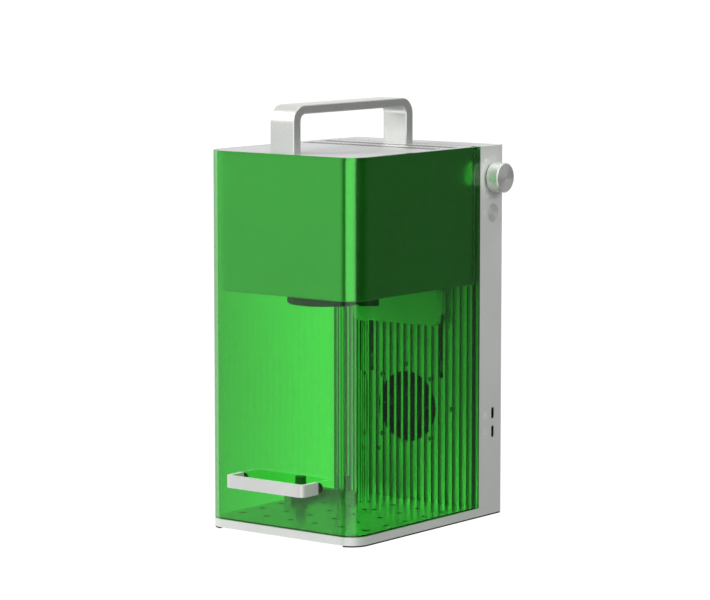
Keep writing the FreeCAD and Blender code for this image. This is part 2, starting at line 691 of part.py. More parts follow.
def make_hanger_plate():
    """The plate at the back of the head, with two arms that reach through the wall's slots."""
    piece = Piece("hanger_plate")
    plate = piece.sketch("XZ", "-(hanger_front + hanger_thick)")
    rounded_end(plate, "-hanger_half", "hanger_half", "hanger_high", "hanger_low", "5")
    piece.pad(plate, "hanger_thick")
    arms = piece.sketch("XY", "arm_low")
    for side in (-1, 1):
        rectangle(arms, "%d * slot_x - arm_width / 2" % side, "hanger_front + hanger_thick - 1",
                  "%d * slot_x + arm_width / 2" % side, "lift_y - bracket_deep / 2")
    piece.pad(arms, "bridge_z + bridge_high - arm_low")
    piece.keep()


def make_limit_switches():
    switches = [box("limit_switch_%d" % i, "12", BACK_OF_WALL, z, "10", "3.8", "6")
                for i, z in enumerate(("bridge_z + bridge_high + 2", "128"))]
    keep(group("limit_switch_group", switches), "limit_switches")


# ---------------------------------------------------------------- electronics and controls

def make_main_board():
    """The circuit board in the column's foot, on four spacers, with its larger components."""
    back = "depth - back_thick - 7"
    parts = [box("board_sheet", "-58", back + " - 1.6", "10", "96", "1.6", "38")]
    for i, (x, z, size_x, size_y, size_z) in enumerate((("-50", "18", "16", "2", "16"),
                                                        ("-24", "14", "12", "6", "9"),
                                                        ("-6", "30", "18", "3", "10"),
                                                        ("20", "15", "10", "8", "10"))):
        parts.append(box("board_component_%d" % i, x, "%s - 1.6 - %s" % (back, size_y), z,
                         size_x, size_y, size_z))
    for i, (x, z) in enumerate((("-54", "13"), ("34", "13"), ("-54", "45"), ("34", "45"))):
        parts.append(rod("board_spacer_%d" % i, x, back, z, "2.2", "7", "y"))
    keep(fuse("board_whole", parts), "main_board")


def make_port_board():
    keep(box("port_sheet", "62", "176", "60", "1.6", "14", "32"), "port_board")


def make_usb_sockets():
    """Two metal socket shells behind the upright slots in the column's side."""
    piece = Piece("socket_pair", x="63.6")
    piece.body.AllowCompound = True
    shells = piece.sketch("YZ")
    for height in ("socket_high_z", "socket_low_z"):
        long_hole(shells, "socket_y", height, "3.2", "9")
    piece.pad(shells, "width / 2 - gap - 63.6")
    rooms = piece.sketch("YZ", "width / 2 - gap - 63.6")
    for height in ("socket_high_z", "socket_low_z"):
        long_hole(rooms, "socket_y", height, "2.5", "8.3")
    piece.pocket(rooms, "7")
    tongues = piece.sketch("YZ")
    for height in ("socket_high_z", "socket_low_z"):
        rectangle(tongues, "socket_y - 0.35", height + " - 3.3", "socket_y + 0.35", height + " + 3.3")
    piece.pad(tongues, "width / 2 - gap - 63.6 - 1")
    piece.keep("usb_c_sockets")


def make_power_inlet():
    """The round direct-current socket at the foot of the back panel, with its centre pin."""
    back = "depth - back_thick"
    body = centred_box("inlet_block", "inlet_x", back + " - 6.2", "inlet_z - 7", "14", "12.4", "14")
    nose = rod("inlet_nose", "inlet_x", back + " - 1", "inlet_z", "5.5", "back_thick + 1", "y")
    bore = rod("inlet_bore", "inlet_x", back + " - 8", "inlet_z", "2.75", "8 + back_thick", "y")
    pin = rod("inlet_pin", "inlet_x", back + " - 8.5", "inlet_z", "1", "8", "y")
    shell = cut("inlet_shell", fuse("inlet_solid", [body, nose]), [bore])
    keep(fuse("inlet_whole", [shell, pin]), "power_inlet")


def make_knob():
    """A spun metal knob on a spindle that can be turned and pressed, and the encoder behind it."""
    body = box("encoder_block", "60", "side_y - 7", "knob_z - 7", "width / 2 - wall - 60 - gap", "14",
               "14")
    bore = rod("encoder_bore", "60", "side_y", "knob_z", "spindle_radius + fit", "14", "x")
    keep(cut("encoder_cut", body, [bore]), "knob_encoder")
    keep(rod("spindle", "61.5", "side_y", "knob_z", "spindle_radius", "width / 2 - 61.5 + knob_end - 3.4",
             "x"), "knob_spindle")
    piece = Piece("knob", x="width / 2", y="side_y", z="knob_z")
    profile = piece.sketch("XY")
    bore_end = "knob_end - 3.3"
    bore_radius = "spindle_radius + fit"
    polygon(profile, [("knob_start", bore_radius), ("knob_start", "knob_radius - 0.8"),
                      ("knob_start + 0.8", "knob_radius"), ("knob_end - 0.8", "knob_radius"),
                      ("knob_end", "knob_radius - 0.8"), ("knob_end", "0"), (bore_end, "0"),
                      (bore_end, bore_radius)])
    piece.revolve(profile, "X")
    piece.keep()


def make_power_button():
    cap = rod("button_disc", "width / 2 - button_thick", "side_y", "button_z", "button_radius",
              "button_thick", "x")
    stem = rod("button_stem", "width / 2 - button_thick - 4", "side_y", "button_z", "2", "4.5", "x")
    keep(fuse("button_whole", [cap, stem]), "power_button")
    keep(box("switch_block", "60", "side_y - 6", "button_z - 6", "8.4", "12", "12"), "power_switch")


# ---------------------------------------------------------------- safety cover

def make_safety_cover():
    """The green see-through shell: a front and two sides bent from one sheet, open behind."""
    piece = Piece("safety_cover", z="rim_height")
    outline = piece.sketch("XY")
    front_rounded(outline, "width / 2", "0", "cover_depth", "corner")
    piece.pad(outline, "body_height - rim_height")
    inside = piece.sketch("XY", "body_height - rim_height")
    front_rounded(inside, "width / 2 - wall", "wall", "cover_depth + 1", "corner - wall")
    piece.pocket(inside)
    holes = piece.sketch("XZ", "1")
    for side in (-1, 1):
        circle(holes, "%d * (strap_half - strap_thick / 2)" % side, "strap_screw_z - rim_height",
               "hole_radius + 0.3")
    piece.pocket(holes, "wall + 2")
    piece.keep()


def make_cover_handle():
    """The strap that lifts the cover."""
    piece = Piece("cover_handle", z="strap_low")
    outline = piece.sketch("XY")
    front_rounded(outline, "strap_half", "-strap_out", "-washer_out", "5.5")
    piece.pad(outline, "strap_high")
    gap = piece.sketch("XY", "strap_high")
    front_rounded(gap, "strap_half - strap_thick", "-(strap_out - strap_thick)", "0", "2.5")
    piece.pocket(gap)
    holes = piece.sketch("XZ", "washer_out")
    for side in (-1, 1):
        circle(holes, "%d * (strap_half - strap_thick / 2)" % side, "strap_high / 2",
               "hole_radius")
    piece.pocket(holes, "9", back=True)
    piece.keep()


def make_cover_fasteners():
    """A washer on each side of the cover at both ends of the strap, and the two screws."""
    washers, screws = [], []
    for i, side in enumerate((-1, 1)):
        x = "%d * (strap_half - strap_thick / 2)" % side
        for place_name, y, radius, thick in (("outer", "-washer_out", "3.9", "washer_out"),
                                             ("inner", "wall", "3.9", "washer_in")):
            name = "washer_%s_%d" % (place_name, i)
            disc = rod(name + "_disc", x, y, "strap_screw_z", radius, thick, "y")
            hole = rod(name + "_hole", x, y, "strap_screw_z", "hole_radius + 0.1", thick, "y")
            washers.append(cut(name, disc, [hole]))
        screws.append(screw("strap_screw_%d" % i, x, "wall + washer_in", "strap_screw_z", "y",
                            "hole_radius - fit", "wall + washer_in + washer_out + 8", "2.4", "1.2"))
    keep(group("washer_group", washers), "cover_handle_washers")
    keep(group("strap_screw_group", screws), "cover_handle_screws")


# ---------------------------------------------------------------- laser head

def make_head_shell():
    """The head's sheet-metal box, open at the top and bottom, notched for the hanger's arms."""
    piece = Piece("head_shell", z="head_low")
    high = "body_height - lid_thick - head_low"
    outline = piece.sketch("XY")
    front_rounded(outline, "head_half", "head_front", "head_back", "head_corner")
    piece.pad(outline, high)
    piece.round("Fillet", "1.2", lambda edge: edge.BoundBox.ZMax < 0.01)
    inside = piece.sketch("XY", high)
    front_rounded(inside, "head_half - head_wall", "head_front + head_wall", "head_back - head_wall",
                  "head_corner - head_wall")
    piece.pocket(inside)
    notches = piece.sketch("XZ", "-(head_back - head_wall - 1)")
    for side in (-1, 1):
        rectangle(notches, "%d * slot_x - arm_width" % side, "-1", "%d * slot_x + arm_width" % side,
                  "hanger_high - head_low + 1")
    piece.pocket(notches)
    piece.keep()


def make_head_floor():
    """The head's bottom plate, with the lens opening, the pointer's hole and the hanger's notch."""
    piece = Piece("head_floor", z="head_low")
    outline = piece.sketch("XY")
    front_rounded(outline, "head_half - head_wall - 0.1", "head_front + head_wall + 0.1",
                  "head_back - head_wall - 0.1", "head_corner - head_wall - 0.1")
    piece.pad(outline, "floor_thick")
    holes = piece.sketch("XY", "floor_thick")
    circle(holes, "0", "lens_y", "lens_bore")
    circle(holes, "pointer_x", "pointer_y", "pointer_radius + fit")
    piece.pocket(holes)
    notch = piece.sketch("XY", "floor_thick")
    rectangle(notch, "-(hanger_half + gap)", "hanger_front", "hanger_half + gap", "head_back")
    piece.pocket(notch)
    piece.keep()


HANDLE_SCREWS = [(x, y) for x in ("-6", "6") for y in ("handle_front + 7", "handle_back - 7")]


def make_head_lid():
    """The head's top plate, with two rows of air slots in front of the handle's rear leg."""
    piece = Piece("head_lid", z="body_height - lid_thick")
    outline = piece.sketch("XY")
    front_rounded(outline, "lid_half", "lid_front", "lid_back", "lid_corner")
    piece.pad(outline, "lid_thick")
    tail = piece.sketch("XY")
    rectangle(tail, "-head_half", "lid_back - 1", "head_half", "head_back")
    piece.pad(tail, "lid_thick")
    for y in ("vent_front", "vent_back"):
        slot = piece.sketch("XY", "lid_thick")
        long_hole(slot, "-13 * vent_pitch", y, "vent_width", "vent_length")
        piece.row(piece.pocket(slot), "X", "vent_pitch", 27)
    holes = piece.sketch("XY", "lid_thick")
    for x, y in HANDLE_SCREWS:
        circle(holes, x, y, "2 + fit")
    piece.pocket(holes)
    piece.keep()




def make_carry_handle():
    """The square-section carrying bow on the head's lid."""
    piece = Piece("carry_handle")
    outline = piece.sketch("YZ", "-handle_width / 2")
    rounded_end(outline, "handle_front", "handle_back", "body_height", "handle_top", "13.5")
    piece.pad(outline, "handle_width")
    gap = piece.sketch("YZ", "handle_width / 2")
    rounded_end(gap, "handle_front + handle_leg", "handle_back - handle_leg", "body_height - 1",
                "handle_top - handle_bar", "6")
    piece.pocket(gap)
    piece.round("Chamfer", "0.7", lambda edge: edge.BoundBox.XLength < 0.01
                and edge.BoundBox.ZMax > value_of("body_height") + 0.1)
    holes = piece.sketch("XY", "body_height")
    for x, y in HANDLE_SCREWS:
        circle(holes, x, y, "2 + fit")
    piece.pocket(holes, "9", back=True)
    piece.keep()


def make_handle_screws():
    screws = [screw("handle_screw_%d" % i, x, y, "body_height - lid_thick", "z", "2",
                    "lid_thick + 8", "3.2", "3", side=-1) for i, (x, y) in enumerate(HANDLE_SCREWS)]
    keep(group("handle_screw_group", screws), "carry_handle_screws")


# ---------------------------------------------------------------- optics

def make_lens():
    """The black ring under the head and the glass it holds."""
    piece = Piece("lens_ring", y="lens_y", z="lens_low")
    outline = piece.sketch("XY")
    circle(outline, "0", "0", "lens_radius")
    piece.pad(outline, "head_low - lens_low")
    piece.round("Chamfer", "1", lambda edge: edge.BoundBox.ZMax < 0.01)
    bore = piece.sketch("XY", "head_low - lens_low")
    circle(bore, "0", "0", "lens_bore")
    piece.pocket(bore)
    piece.keep()
    keep(rod("lens_glass", "0", "lens_y", "lens_low + 2", "lens_bore - fit", "6"), "field_lens")


def make_pointer_module():
    keep(rod("pointer", "pointer_x", "pointer_y", "lens_low", "pointer_radius", "21"),
         "pointer_module")


def make_galvo_block():
    """The block over the lens in which the two mirrors turn."""
    block = box("galvo_solid", "-galvo_half", "34", FLOOR_TOP, "2 * galvo_half", "60", "galvo_high")
    rooms = [box("galvo_room", "-galvo_half + 8", "42", FLOOR_TOP, "2 * galvo_half - 16", "46",
                 "galvo_high - 8"),
             rod("galvo_beam_hole", "-galvo_half", "beam_y", "beam_z", "5", "9", "x"),
             rod("galvo_shaft_hole_y", "galvo_half - 9", "lens_y", "beam_z", "shaft_radius + fit", "9",
                 "x"),
             rod("galvo_shaft_hole_x", "0", "beam_y", FLOOR_TOP + " + galvo_high - 9",
                 "shaft_radius + fit", "9")]
    keep(cut("galvo_cut", block, rooms), "galvo_block")


def make_galvo_motors():
    for label, x, y, z, axis in (("galvo_motor_x", "0", "beam_y", FLOOR_TOP + " + galvo_high", "z"),
                                 ("galvo_motor_y", "galvo_half", "lens_y", "beam_z", "x")):
        body = rod(label + "_body", x, y, z, "motor_radius", "motor_length", axis)
        bore = rod(label + "_bore", x, y, z, "shaft_radius + fit", "12", axis)
        keep(cut(label + "_cut", body, [bore]), label)


def make_galvo_mirror(label, plate_wide, plate_long, shaft_long, rotation, y):
    """A mirror on the end of its motor's shaft, built upright and then turned into its place."""
    piece = Piece(label, y=y, z="beam_z")
    plate = piece.sketch("XY", "-(%s) / 2" % plate_long)
    rectangle(plate, "-(%s) / 2" % plate_wide, "-0.9", "(%s) / 2" % plate_wide, "0.9")
    piece.pad(plate, plate_long)
    shaft = piece.sketch("XY", "(%s) / 2 - 1" % plate_long)
    circle(shaft, "0", "0", "shaft_radius")
    piece.pad(shaft, shaft_long)
    piece.body.Placement.Rotation = rotation
    piece.keep()


def make_galvo_mirrors():
    slanting = FreeCAD.Vector(0, 1, 1)
    make_galvo_mirror("galvo_mirror_x", "14", "15", "28.5", FreeCAD.Rotation(AXES["z"], -45), "beam_y")
    make_galvo_mirror("galvo_mirror_y", "16", "24", "26",
                      FreeCAD.Rotation(slanting, FreeCAD.Vector(), AXES["x"], "ZXY"), "lens_y")


def make_lasers():
    """The two laser modules and the block that brings their beams together."""
    diode = box("diode_block", "-66.5", "beam_y - 16", FLOOR_TOP, "26", "32", "laser_high")
    nose = rod("diode_nose", "-41", "beam_y", "beam_z", "4", "1.4", "x")
    keep(fuse("diode_whole", [diode, nose]), "diode_laser")
    infrared = box("infrared_block", "-48", "beam_y + 16.4", FLOOR_TOP, "30", "51", "laser_high")
    snout = rod("infrared_nose", "-33", "beam_y + 6.6", "beam_z", "4", "10", "y")
    keep(fuse("infrared_whole", [infrared, snout]), "infrared_laser")
    block = box("combiner_block", "-39.5", "beam_y - 6.5", FLOOR_TOP, "13", "13", "25.5")
    holes = [rod("combiner_hole_x", "-39.5", "beam_y", "beam_z", "3.5", "13", "x"),
             rod("combiner_hole_y", "-33", "beam_y", "beam_z", "3.5", "6.5", "y")]
    keep(cut("combiner_cut", block, holes), "beam_combiner")


def make_heat_sink():
    piece = Piece("heat_sink", z=FLOOR_TOP + " + laser_high")
    base = piece.sketch("XY")
    rectangle(base, "-67", "beam_y - 14", "-27", "beam_y + 67")
    piece.pad(base, "sink_base")
    fin = piece.sketch("XY", "sink_base")
    rectangle(fin, "-67", "beam_y - 14", "-65.4", "beam_y + 67")
    piece.row(piece.pad(fin, "sink_high - sink_base"), "X", "4.8", 9)
    piece.keep()


def make_head_board():
    """The head's circuit board on four spacers at its right wall."""
    inner = "head_half - head_wall"
    parts = [box("driver_sheet", inner + " - 3.5", "60", "206", "1.6", "86", "78")]
    for i, (y, z, size) in enumerate((("66", "212", "14"), ("92", "220", "20"), ("122", "214", "12"),
                                      ("98", "256", "16"))):
        parts.append(box("driver_component_%d" % i, inner + " - 3.5 - 4", y, z, "4", size, size))
    for i, (y, z) in enumerate((("64", "210"), ("142", "210"), ("64", "280"), ("142", "280"))):
        parts.append(rod("driver_spacer_%d" % i, inner + " - 1.9", y, z, "2.2", "1.9", "x"))
    keep(fuse("driver_whole", parts), "head_board")


# ---------------------------------------------------------------- fence

THUMB_SCREWS = {"fence_screw_left": ("-2.5 * grid_pitch", "grid_front + 3 * grid_pitch"),
                "fence_screw_rear": ("-1.5 * grid_pitch", "grid_front + 4 * grid_pitch")}


def make_corner_fence():
    """The low L-shaped stop that lines work up with the hole grid."""
    piece = Piece("corner_fence", z="plate_top")
    left = "-2.5 * grid_pitch"
    rear = "grid_front + 4 * grid_pitch"
    outline = piece.sketch("XY")
    polygon(outline, [(left + " - fence_wide / 2", "88.5"), (left + " + fence_wide / 2", "88.5"),
                      (left + " + fence_wide / 2", rear + " - fence_wide / 2"),
                      ("-22", rear + " - fence_wide / 2"), ("-22", rear + " + fence_wide / 2"),
                      (left + " - fence_wide / 2", rear + " + fence_wide / 2")])
    piece.pad(outline, "fence_high")
    relief = piece.sketch("XY", "fence_high")
    circle(relief, left + " + fence_wide / 2", rear + " - fence_wide / 2", "2.4")
    piece.pocket(relief)
    holes = piece.sketch("XY", "fence_high")
    for x, y in THUMB_SCREWS.values():
        circle(holes, x, y, "hole_radius")
    piece.pocket(holes)
    piece.keep()


def make_thumb_screws():
    """The two knurled screws that hold the fence down."""
    for label, (x, y) in THUMB_SCREWS.items():
        piece = Piece(label, x, y, "plate_top + fence_high")
        head = piece.sketch("XY")
        circle(head, "0", "0", "thumb_radius")
        piece.pad(head, "thumb_high")
        flute = piece.sketch("XY", "thumb_high")
        circle(flute, "thumb_radius + 0.15", "0", "0.45")
        original = piece.pocket(flute)
        ring = piece.body.newObject("PartDesign::PolarPattern", label + "_flutes")
        ring.Originals = [original]
        ring.Axis = (piece.origin("Z_Axis"), [""])
        ring.Angle = 360
        ring.Occurrences = 20
        piece.body.Tip = ring
        doc.recompute()
        shank = piece.sketch("XY", "1")
        circle(shank, "0", "0", "hole_radius - fit")
        piece.pad(shank, "1 + fence_high + plate_thick - 0.5", back=True)
        piece.keep()


# ---------------------------------------------------------------- build, check and write

def make_everything():
    make_main_frame()
    make_work_plate()
    make_bottom_cover()
    make_base_pad()
    make_bottom_screws()
    make_ribbed_wall()
    make_wall_screws()
    make_cover_rails()
    make_rear_cover()
    make_rear_screws()
    make_column_cap()
    make_fan("exhaust_fan", "big_fan", "big_fan_thick", "big_fan_screws", "0", BACK_OF_WALL,
             "exhaust_z", "y")
    make_exhaust_duct()
    make_bracket("low_bracket", "low_bracket_z", "low_bracket_high", "journal + fit", notched=True)
    make_bracket("top_bracket", "top_bracket_z", "top_bracket_high", "journal + gap", notched=False)
    make_guide_rods()
    make_lead_screw()
    make_lift_motor()
    make_lift_bridge()
    make_lead_nut()
    make_linear_bearings()
    make_hanger_plate()
    make_limit_switches()
    make_main_board()
    make_port_board()
    make_usb_sockets()
    make_power_inlet()
    make_knob()
    make_power_button()
    make_safety_cover()
    make_cover_handle()
    make_cover_fasteners()
    make_head_shell()
    make_head_floor()
    make_head_lid()
    make_carry_handle()
    make_handle_screws()
    make_lens()
    make_pointer_module()
    make_galvo_block()
    make_galvo_motors()
    make_galvo_mirrors()
    make_lasers()
    make_heat_sink()
    make_fan("head_fan", "small_fan", "small_fan_thick", "small_fan_screws", "-47", "beam_y + 42",
             FLOOR_TOP + " + laser_high + sink_high", "z")
    make_head_board()
    make_corner_fence()
    make_thumb_screws()


def check_and_write():
    """Stop at anything that failed, then write each sub-part to its own file."""
    doc.recompute()
    for item in doc.Objects:
        if "Invalid" in item.State or "Error" in item.State:
            raise RuntimeError("%s failed: %s" % (item.Name, item.State))
    os.makedirs("parts", exist_ok=True)
    for item in nodes:
        shape = item.Shape
        if shape.isNull() or not shape.isValid() or not shape.Solids:
            raise RuntimeError("%s has no sound solid" % item.Label)
        shape.exportStep("parts/%s.step" % item.Label)
        print("%-22s %d solids %10.1f mm3" % (item.Label, len(shape.Solids), shape.Volume))


make_everything()
check_and_write()
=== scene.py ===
"""Looks for the desktop laser engraver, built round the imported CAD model."""

import math

import bmesh
import bpy
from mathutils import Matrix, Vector


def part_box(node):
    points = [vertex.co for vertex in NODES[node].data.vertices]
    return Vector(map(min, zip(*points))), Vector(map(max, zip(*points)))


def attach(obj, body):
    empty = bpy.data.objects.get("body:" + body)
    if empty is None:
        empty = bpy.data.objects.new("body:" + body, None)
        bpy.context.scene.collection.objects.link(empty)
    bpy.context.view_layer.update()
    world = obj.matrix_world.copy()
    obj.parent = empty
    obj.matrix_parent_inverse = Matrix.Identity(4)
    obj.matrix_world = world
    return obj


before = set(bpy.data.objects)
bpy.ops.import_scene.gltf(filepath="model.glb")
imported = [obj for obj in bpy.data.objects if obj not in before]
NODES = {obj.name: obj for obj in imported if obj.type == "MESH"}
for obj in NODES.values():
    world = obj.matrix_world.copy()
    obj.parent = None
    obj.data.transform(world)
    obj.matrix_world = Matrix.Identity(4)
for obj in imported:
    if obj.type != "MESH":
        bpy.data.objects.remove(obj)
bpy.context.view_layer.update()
scene = bpy.context.scene
MM = 0.001


# ---------------------------------------------------------------- camera and light

CAMERA_SPOT = (1.5705, -2.02475, 0.4905)
CAMERA_TARGET = (0.02162, -0.02843, 0.18578)
# The compass angle that the camera looks along, counted like the walls' angles.
CAMERA_HEADING = 37.81 - 180
FOCAL_LENGTH = 160.7
# Brightness of the studio's walls by compass angle: 0 is in front, 90 to the right.
WALLS = [(-180, 0.8), (-100, 0.9), (-66, 0.9), (-48, 0.85), (-26, 0.75), (-18, 0.2), (-2, 0.2),
         (6, 1.5), (58, 1.5), (70, 0.04), (120, 0.04), (138, 0.13), (165, 0.14)]
CEILING = 0.7
# The walls give way to the ceiling between these heights of the direction looked in.
WALL_END, CEILING_START = 0.35, 0.75
# The lit backdrop behind the object, by the angle from the camera's own heading.
BACKDROP = [(-2.6, 0.85), (-0.5, 1.5)]
BACKDROP_SEEN_DIRECTLY = 1.05
BODY_MIDDLE = (0, 0, 0.18)


def look(item, target):
    """Turns a camera or lamp so that it points at the target."""
    way = Vector(target) - item.location
    item.rotation_mode = "QUATERNION"
    item.rotation_quaternion = way.to_track_quat("-Z", "Y")


def add_camera():
    """The camera at the height, side and distance that the object is shown from."""
    data = bpy.data.cameras.new("camera")
    data.sensor_width = 36
    data.lens = FOCAL_LENGTH
    data.clip_start = 0.05
    data.clip_end = 50
    item = bpy.data.objects.new("camera", data)
    scene.collection.objects.link(item)
    item.location = CAMERA_SPOT
    look(item, CAMERA_TARGET)
    scene.camera = item


def softbox(name, place, target, width, height, watts):
    """A white rectangular lamp, its size in metres, turned towards the target."""
    data = bpy.data.lights.new(name, "AREA")
    data.shape = "RECTANGLE"
    data.size = width
    data.size_y = height
    data.energy = watts
    item = bpy.data.objects.new(name, data)
    scene.collection.objects.link(item)
    item.location = place
    look(item, target)


def direct(tree):
    """1 for rays that come straight from the camera or through clear pieces, 0 after any reflection."""
    path = tree.nodes.new("ShaderNodeLightPath")
    total = tree.nodes.new("ShaderNodeMath")
    total.operation = "ADD"
    tree.links.new(path.outputs["Diffuse Depth"], total.inputs[0])
    tree.links.new(path.outputs["Glossy Depth"], total.inputs[1])
    test = tree.nodes.new("ShaderNodeMath")
    test.operation = "LESS_THAN"
    tree.links.new(total.outputs[0], test.inputs[0])
    test.inputs[1].default_value = 0.5
    return test.outputs[0]


def backdrop_level(tree, x, y):
    """The compass angle of a direction given by its x and y, and the backdrop's brightness there."""
    new = tree.nodes.new
    link = tree.links.new
    back = new("ShaderNodeMath")
    back.operation = "MULTIPLY"
    link(y, back.inputs[0])
    back.inputs[1].default_value = -1
    turn = new("ShaderNodeMath")
    turn.operation = "ARCTAN2"
    link(x, turn.inputs[0])
    link(back.outputs[0], turn.inputs[1])
    level = new("ShaderNodeMapRange")
    (low, dim), (high, bright) = BACKDROP
    level.inputs["From Min"].default_value = math.radians(CAMERA_HEADING - low)
    level.inputs["From Max"].default_value = math.radians(CAMERA_HEADING - high)
    level.inputs["To Min"].default_value = dim
    level.inputs["To Max"].default_value = bright
    link(turn.outputs[0], level.inputs["Value"])
    path = new("ShaderNodeLightPath")
    plain = new("ShaderNodeMix")
    link(path.outputs["Is Camera Ray"], plain.inputs["Factor"])
    link(level.outputs[0], plain.inputs["A"])
    plain.inputs["B"].default_value = BACKDROP_SEEN_DIRECTLY
    return turn.outputs[0], plain.outputs["Result"]


def add_world():
    """The studio: walls that differ by compass angle, a ceiling, and the backdrop."""
    world = bpy.data.worlds.new("studio")
    scene.world = world
    world.use_nodes = True
    tree = world.node_tree
    tree.nodes.clear()
    new = tree.nodes.new
    link = tree.links.new
    out = new("ShaderNodeOutputWorld")
    coord = new("ShaderNodeTexCoord")
    split = new("ShaderNodeSeparateXYZ")
    link(coord.outputs["Generated"], split.inputs[0])
    turn, behind = backdrop_level(tree, split.outputs["X"], split.outputs["Y"])
    share = new("ShaderNodeMapRange")
    share.inputs["From Min"].default_value = -math.pi
    share.inputs["From Max"].default_value = math.pi
    link(turn, share.inputs["Value"])
    walls = new("ShaderNodeValToRGB")
    elements = walls.color_ramp.elements
    for index, (angle, level) in enumerate(WALLS):
        place = (angle + 180) / 360
        item = elements[index] if index < 2 else elements.new(place)
        item.position = place
        item.color = (level, level, level, 1)
    link(share.outputs[0], walls.inputs["Fac"])
    height = new("ShaderNodeMapRange")
    height.inputs["From Min"].default_value = WALL_END
    height.inputs["From Max"].default_value = CEILING_START
    link(split.outputs["Z"], height.inputs["Value"])
    room = new("ShaderNodeMix")
    room.data_type = "RGBA"
    link(height.outputs[0], room.inputs[0])
    link(walls.outputs["Color"], room.inputs[6])
    room.inputs[7].default_value = (CEILING, CEILING, CEILING, 1)
    studio = new("ShaderNodeBackground")
    link(room.outputs[2], studio.inputs["Color"])
    seen = new("ShaderNodeBackground")
    link(behind, seen.inputs["Strength"])
    mix = new("ShaderNodeMixShader")
    link(direct(tree), mix.inputs[0])
    link(studio.outputs[0], mix.inputs[1])
    link(seen.outputs[0], mix.inputs[2])
    link(mix.outputs[0], out.inputs[0])
    seen.inputs["Color"].default_value = (1, 1, 1, 1)


add_camera()
add_world()
softbox("key", (-1.46, -1.41, 1.5), BODY_MIDDLE, 0.9, 1.0, 46)
softbox("right", (1.9, -0.1, 1.0), BODY_MIDDLE, 0.7, 0.9, 12)
softbox("overhead", (0.1, 0.1, 1.8), (0, 0, 0.2), 1.2, 1.2, 7)
scene.view_settings.view_transform = "Standard"


# ---------------------------------------------------------------- materials

class Finish:
    """A material made from shader nodes."""

    def __init__(self, name, **sockets):
        self.material = bpy.data.materials.new(name)
        self.material.use_nodes = True
        self.tree = self.material.node_tree
        self.tree.nodes.clear()
        self.out = self.node("ShaderNodeOutputMaterial")
        self.shader = self.node("ShaderNodeBsdfPrincipled")
        self.link(self.shader, "BSDF", self.out, "Surface")
        for label, value in sockets.items():
            self.shader.inputs[label.replace("_", " ")].default_value = value
        self.place = self.node("ShaderNodeTexCoord")

    def node(self, kind, **settings):
        item = self.tree.nodes.new(kind)
        for label, value in settings.items():
            setattr(item, label, value)
        return item

    def link(self, source, output, target, socket):
        self.tree.links.new(source.outputs[output], target.inputs[socket])

    def stretched(self, scale):
        """Object coordinates scaled differently along each axis."""
        mapping = self.node("ShaderNodeMapping")
        mapping.inputs["Scale"].default_value = scale
        self.link(self.place, "Object", mapping, "Vector")
        return mapping

    def noise(self, scale, detail=2.0, stretch=(1, 1, 1)):
        item = self.node("ShaderNodeTexNoise")
        item.inputs["Scale"].default_value = scale
        item.inputs["Detail"].default_value = detail
        self.link(self.stretched(stretch), "Vector", item, "Vector")
        return item

    def spread(self, source, output, low, high):
        """Roughness from low to high, following a texture's 0.3 to 0.7."""
        item = self.node("ShaderNodeMapRange")
        item.inputs["From Min"].default_value = 0.3
        item.inputs["From Max"].default_value = 0.7
        item.inputs["To Min"].default_value = low
        item.inputs["To Max"].default_value = high
        self.link(source, output, item, "Value")
        self.link(item, "Result", self.shader, "Roughness")

    def position(self):
        """The surface point's x, y and z in the object's own frame."""
        split = self.node("ShaderNodeSeparateXYZ")
        self.link(self.place, "Object", split, 0)
        return split

    def test(self, operation, source, output, value):
        """1 where a number is GREATER_THAN or LESS_THAN a value, and 0 elsewhere."""
        item = self.node("ShaderNodeMath", operation=operation)
        item.inputs[1].default_value = value
        self.link(source, output, item, 0)
        return item

    def colours(self, source, output, stops):
        """Base colour from a ramp of (position, colour) stops."""
        ramp = self.node("ShaderNodeValToRGB")
        elements = ramp.color_ramp.elements
        for index, (position, colour) in enumerate(stops):
            item = elements[index] if index < 2 else elements.new(position)
            item.position = position
            item.color = (*colour, 1)
        self.link(source, output, ramp, "Fac")
        self.link(ramp, "Color", self.shader, "Base Color")
        return ramp

    def bump(self, source, output, distance, strength):
        """Relief of a depth in metres, following a texture."""
        item = self.node("ShaderNodeBump")
        item.inputs["Distance"].default_value = distance
        item.inputs["Strength"].default_value = strength
        self.link(source, output, item, "Height")
        self.link(item, "Normal", self.shader, "Normal")


# A face counts as a piece's top down to this depth in metres.
SKIN = 0.00003
# Painted shade: the near-black colour that stands for shadow inside slots and holes.
HOLLOW_SHADE = (0.01, 0.01, 0.01)
# Acrylic darkens between these amounts of turning away from the line of sight: 0 is face-on.
TURNED_FROM, TURNED_TO = 0.44, 0.8
RIB_DEPTH = 0.0022
# How far in from the lid's sides and front its polished edge may lie.
LID_SIDE_RIM, LID_FRONT_RIM = 0.002, 0.012


def shade(colour, factor):
    """A colour made lighter or darker, no channel above 1."""
    return tuple(min(1.0, channel * factor) for channel in colour)


def blasted(name, colour, metallic, roughness, grain=2600, depth=0.00002):
    """Bead-blasted, anodised aluminium: even, with a very fine grain."""
    made = Finish(name, Metallic=metallic)
    fine = made.noise(grain, 3)
    cloud = made.noise(22, 2)
    made.colours(cloud, "Fac", [(0.3, shade(colour, 0.96)), (0.7, shade(colour, 1.03))])
    made.spread(fine, "Fac", roughness - 0.06, roughness + 0.06)
    made.bump(fine, "Fac", depth, 0.6)
    return made.material


def brushed(name, colour, metallic, roughness, stretch, anisotropic=0.5):
    """Brushed metal, its scratches running along the axis with the small scale."""
    made = Finish(name, Metallic=metallic, Anisotropic=anisotropic)
    lines = made.noise(900, 3, stretch)
    made.colours(lines, "Fac", [(0.3, shade(colour, 0.9)), (0.7, shade(colour, 1.05))])
    made.spread(lines, "Fac", roughness - 0.08, roughness + 0.1)
    made.bump(lines, "Fac", 0.00002, 0.4)
    return made.material


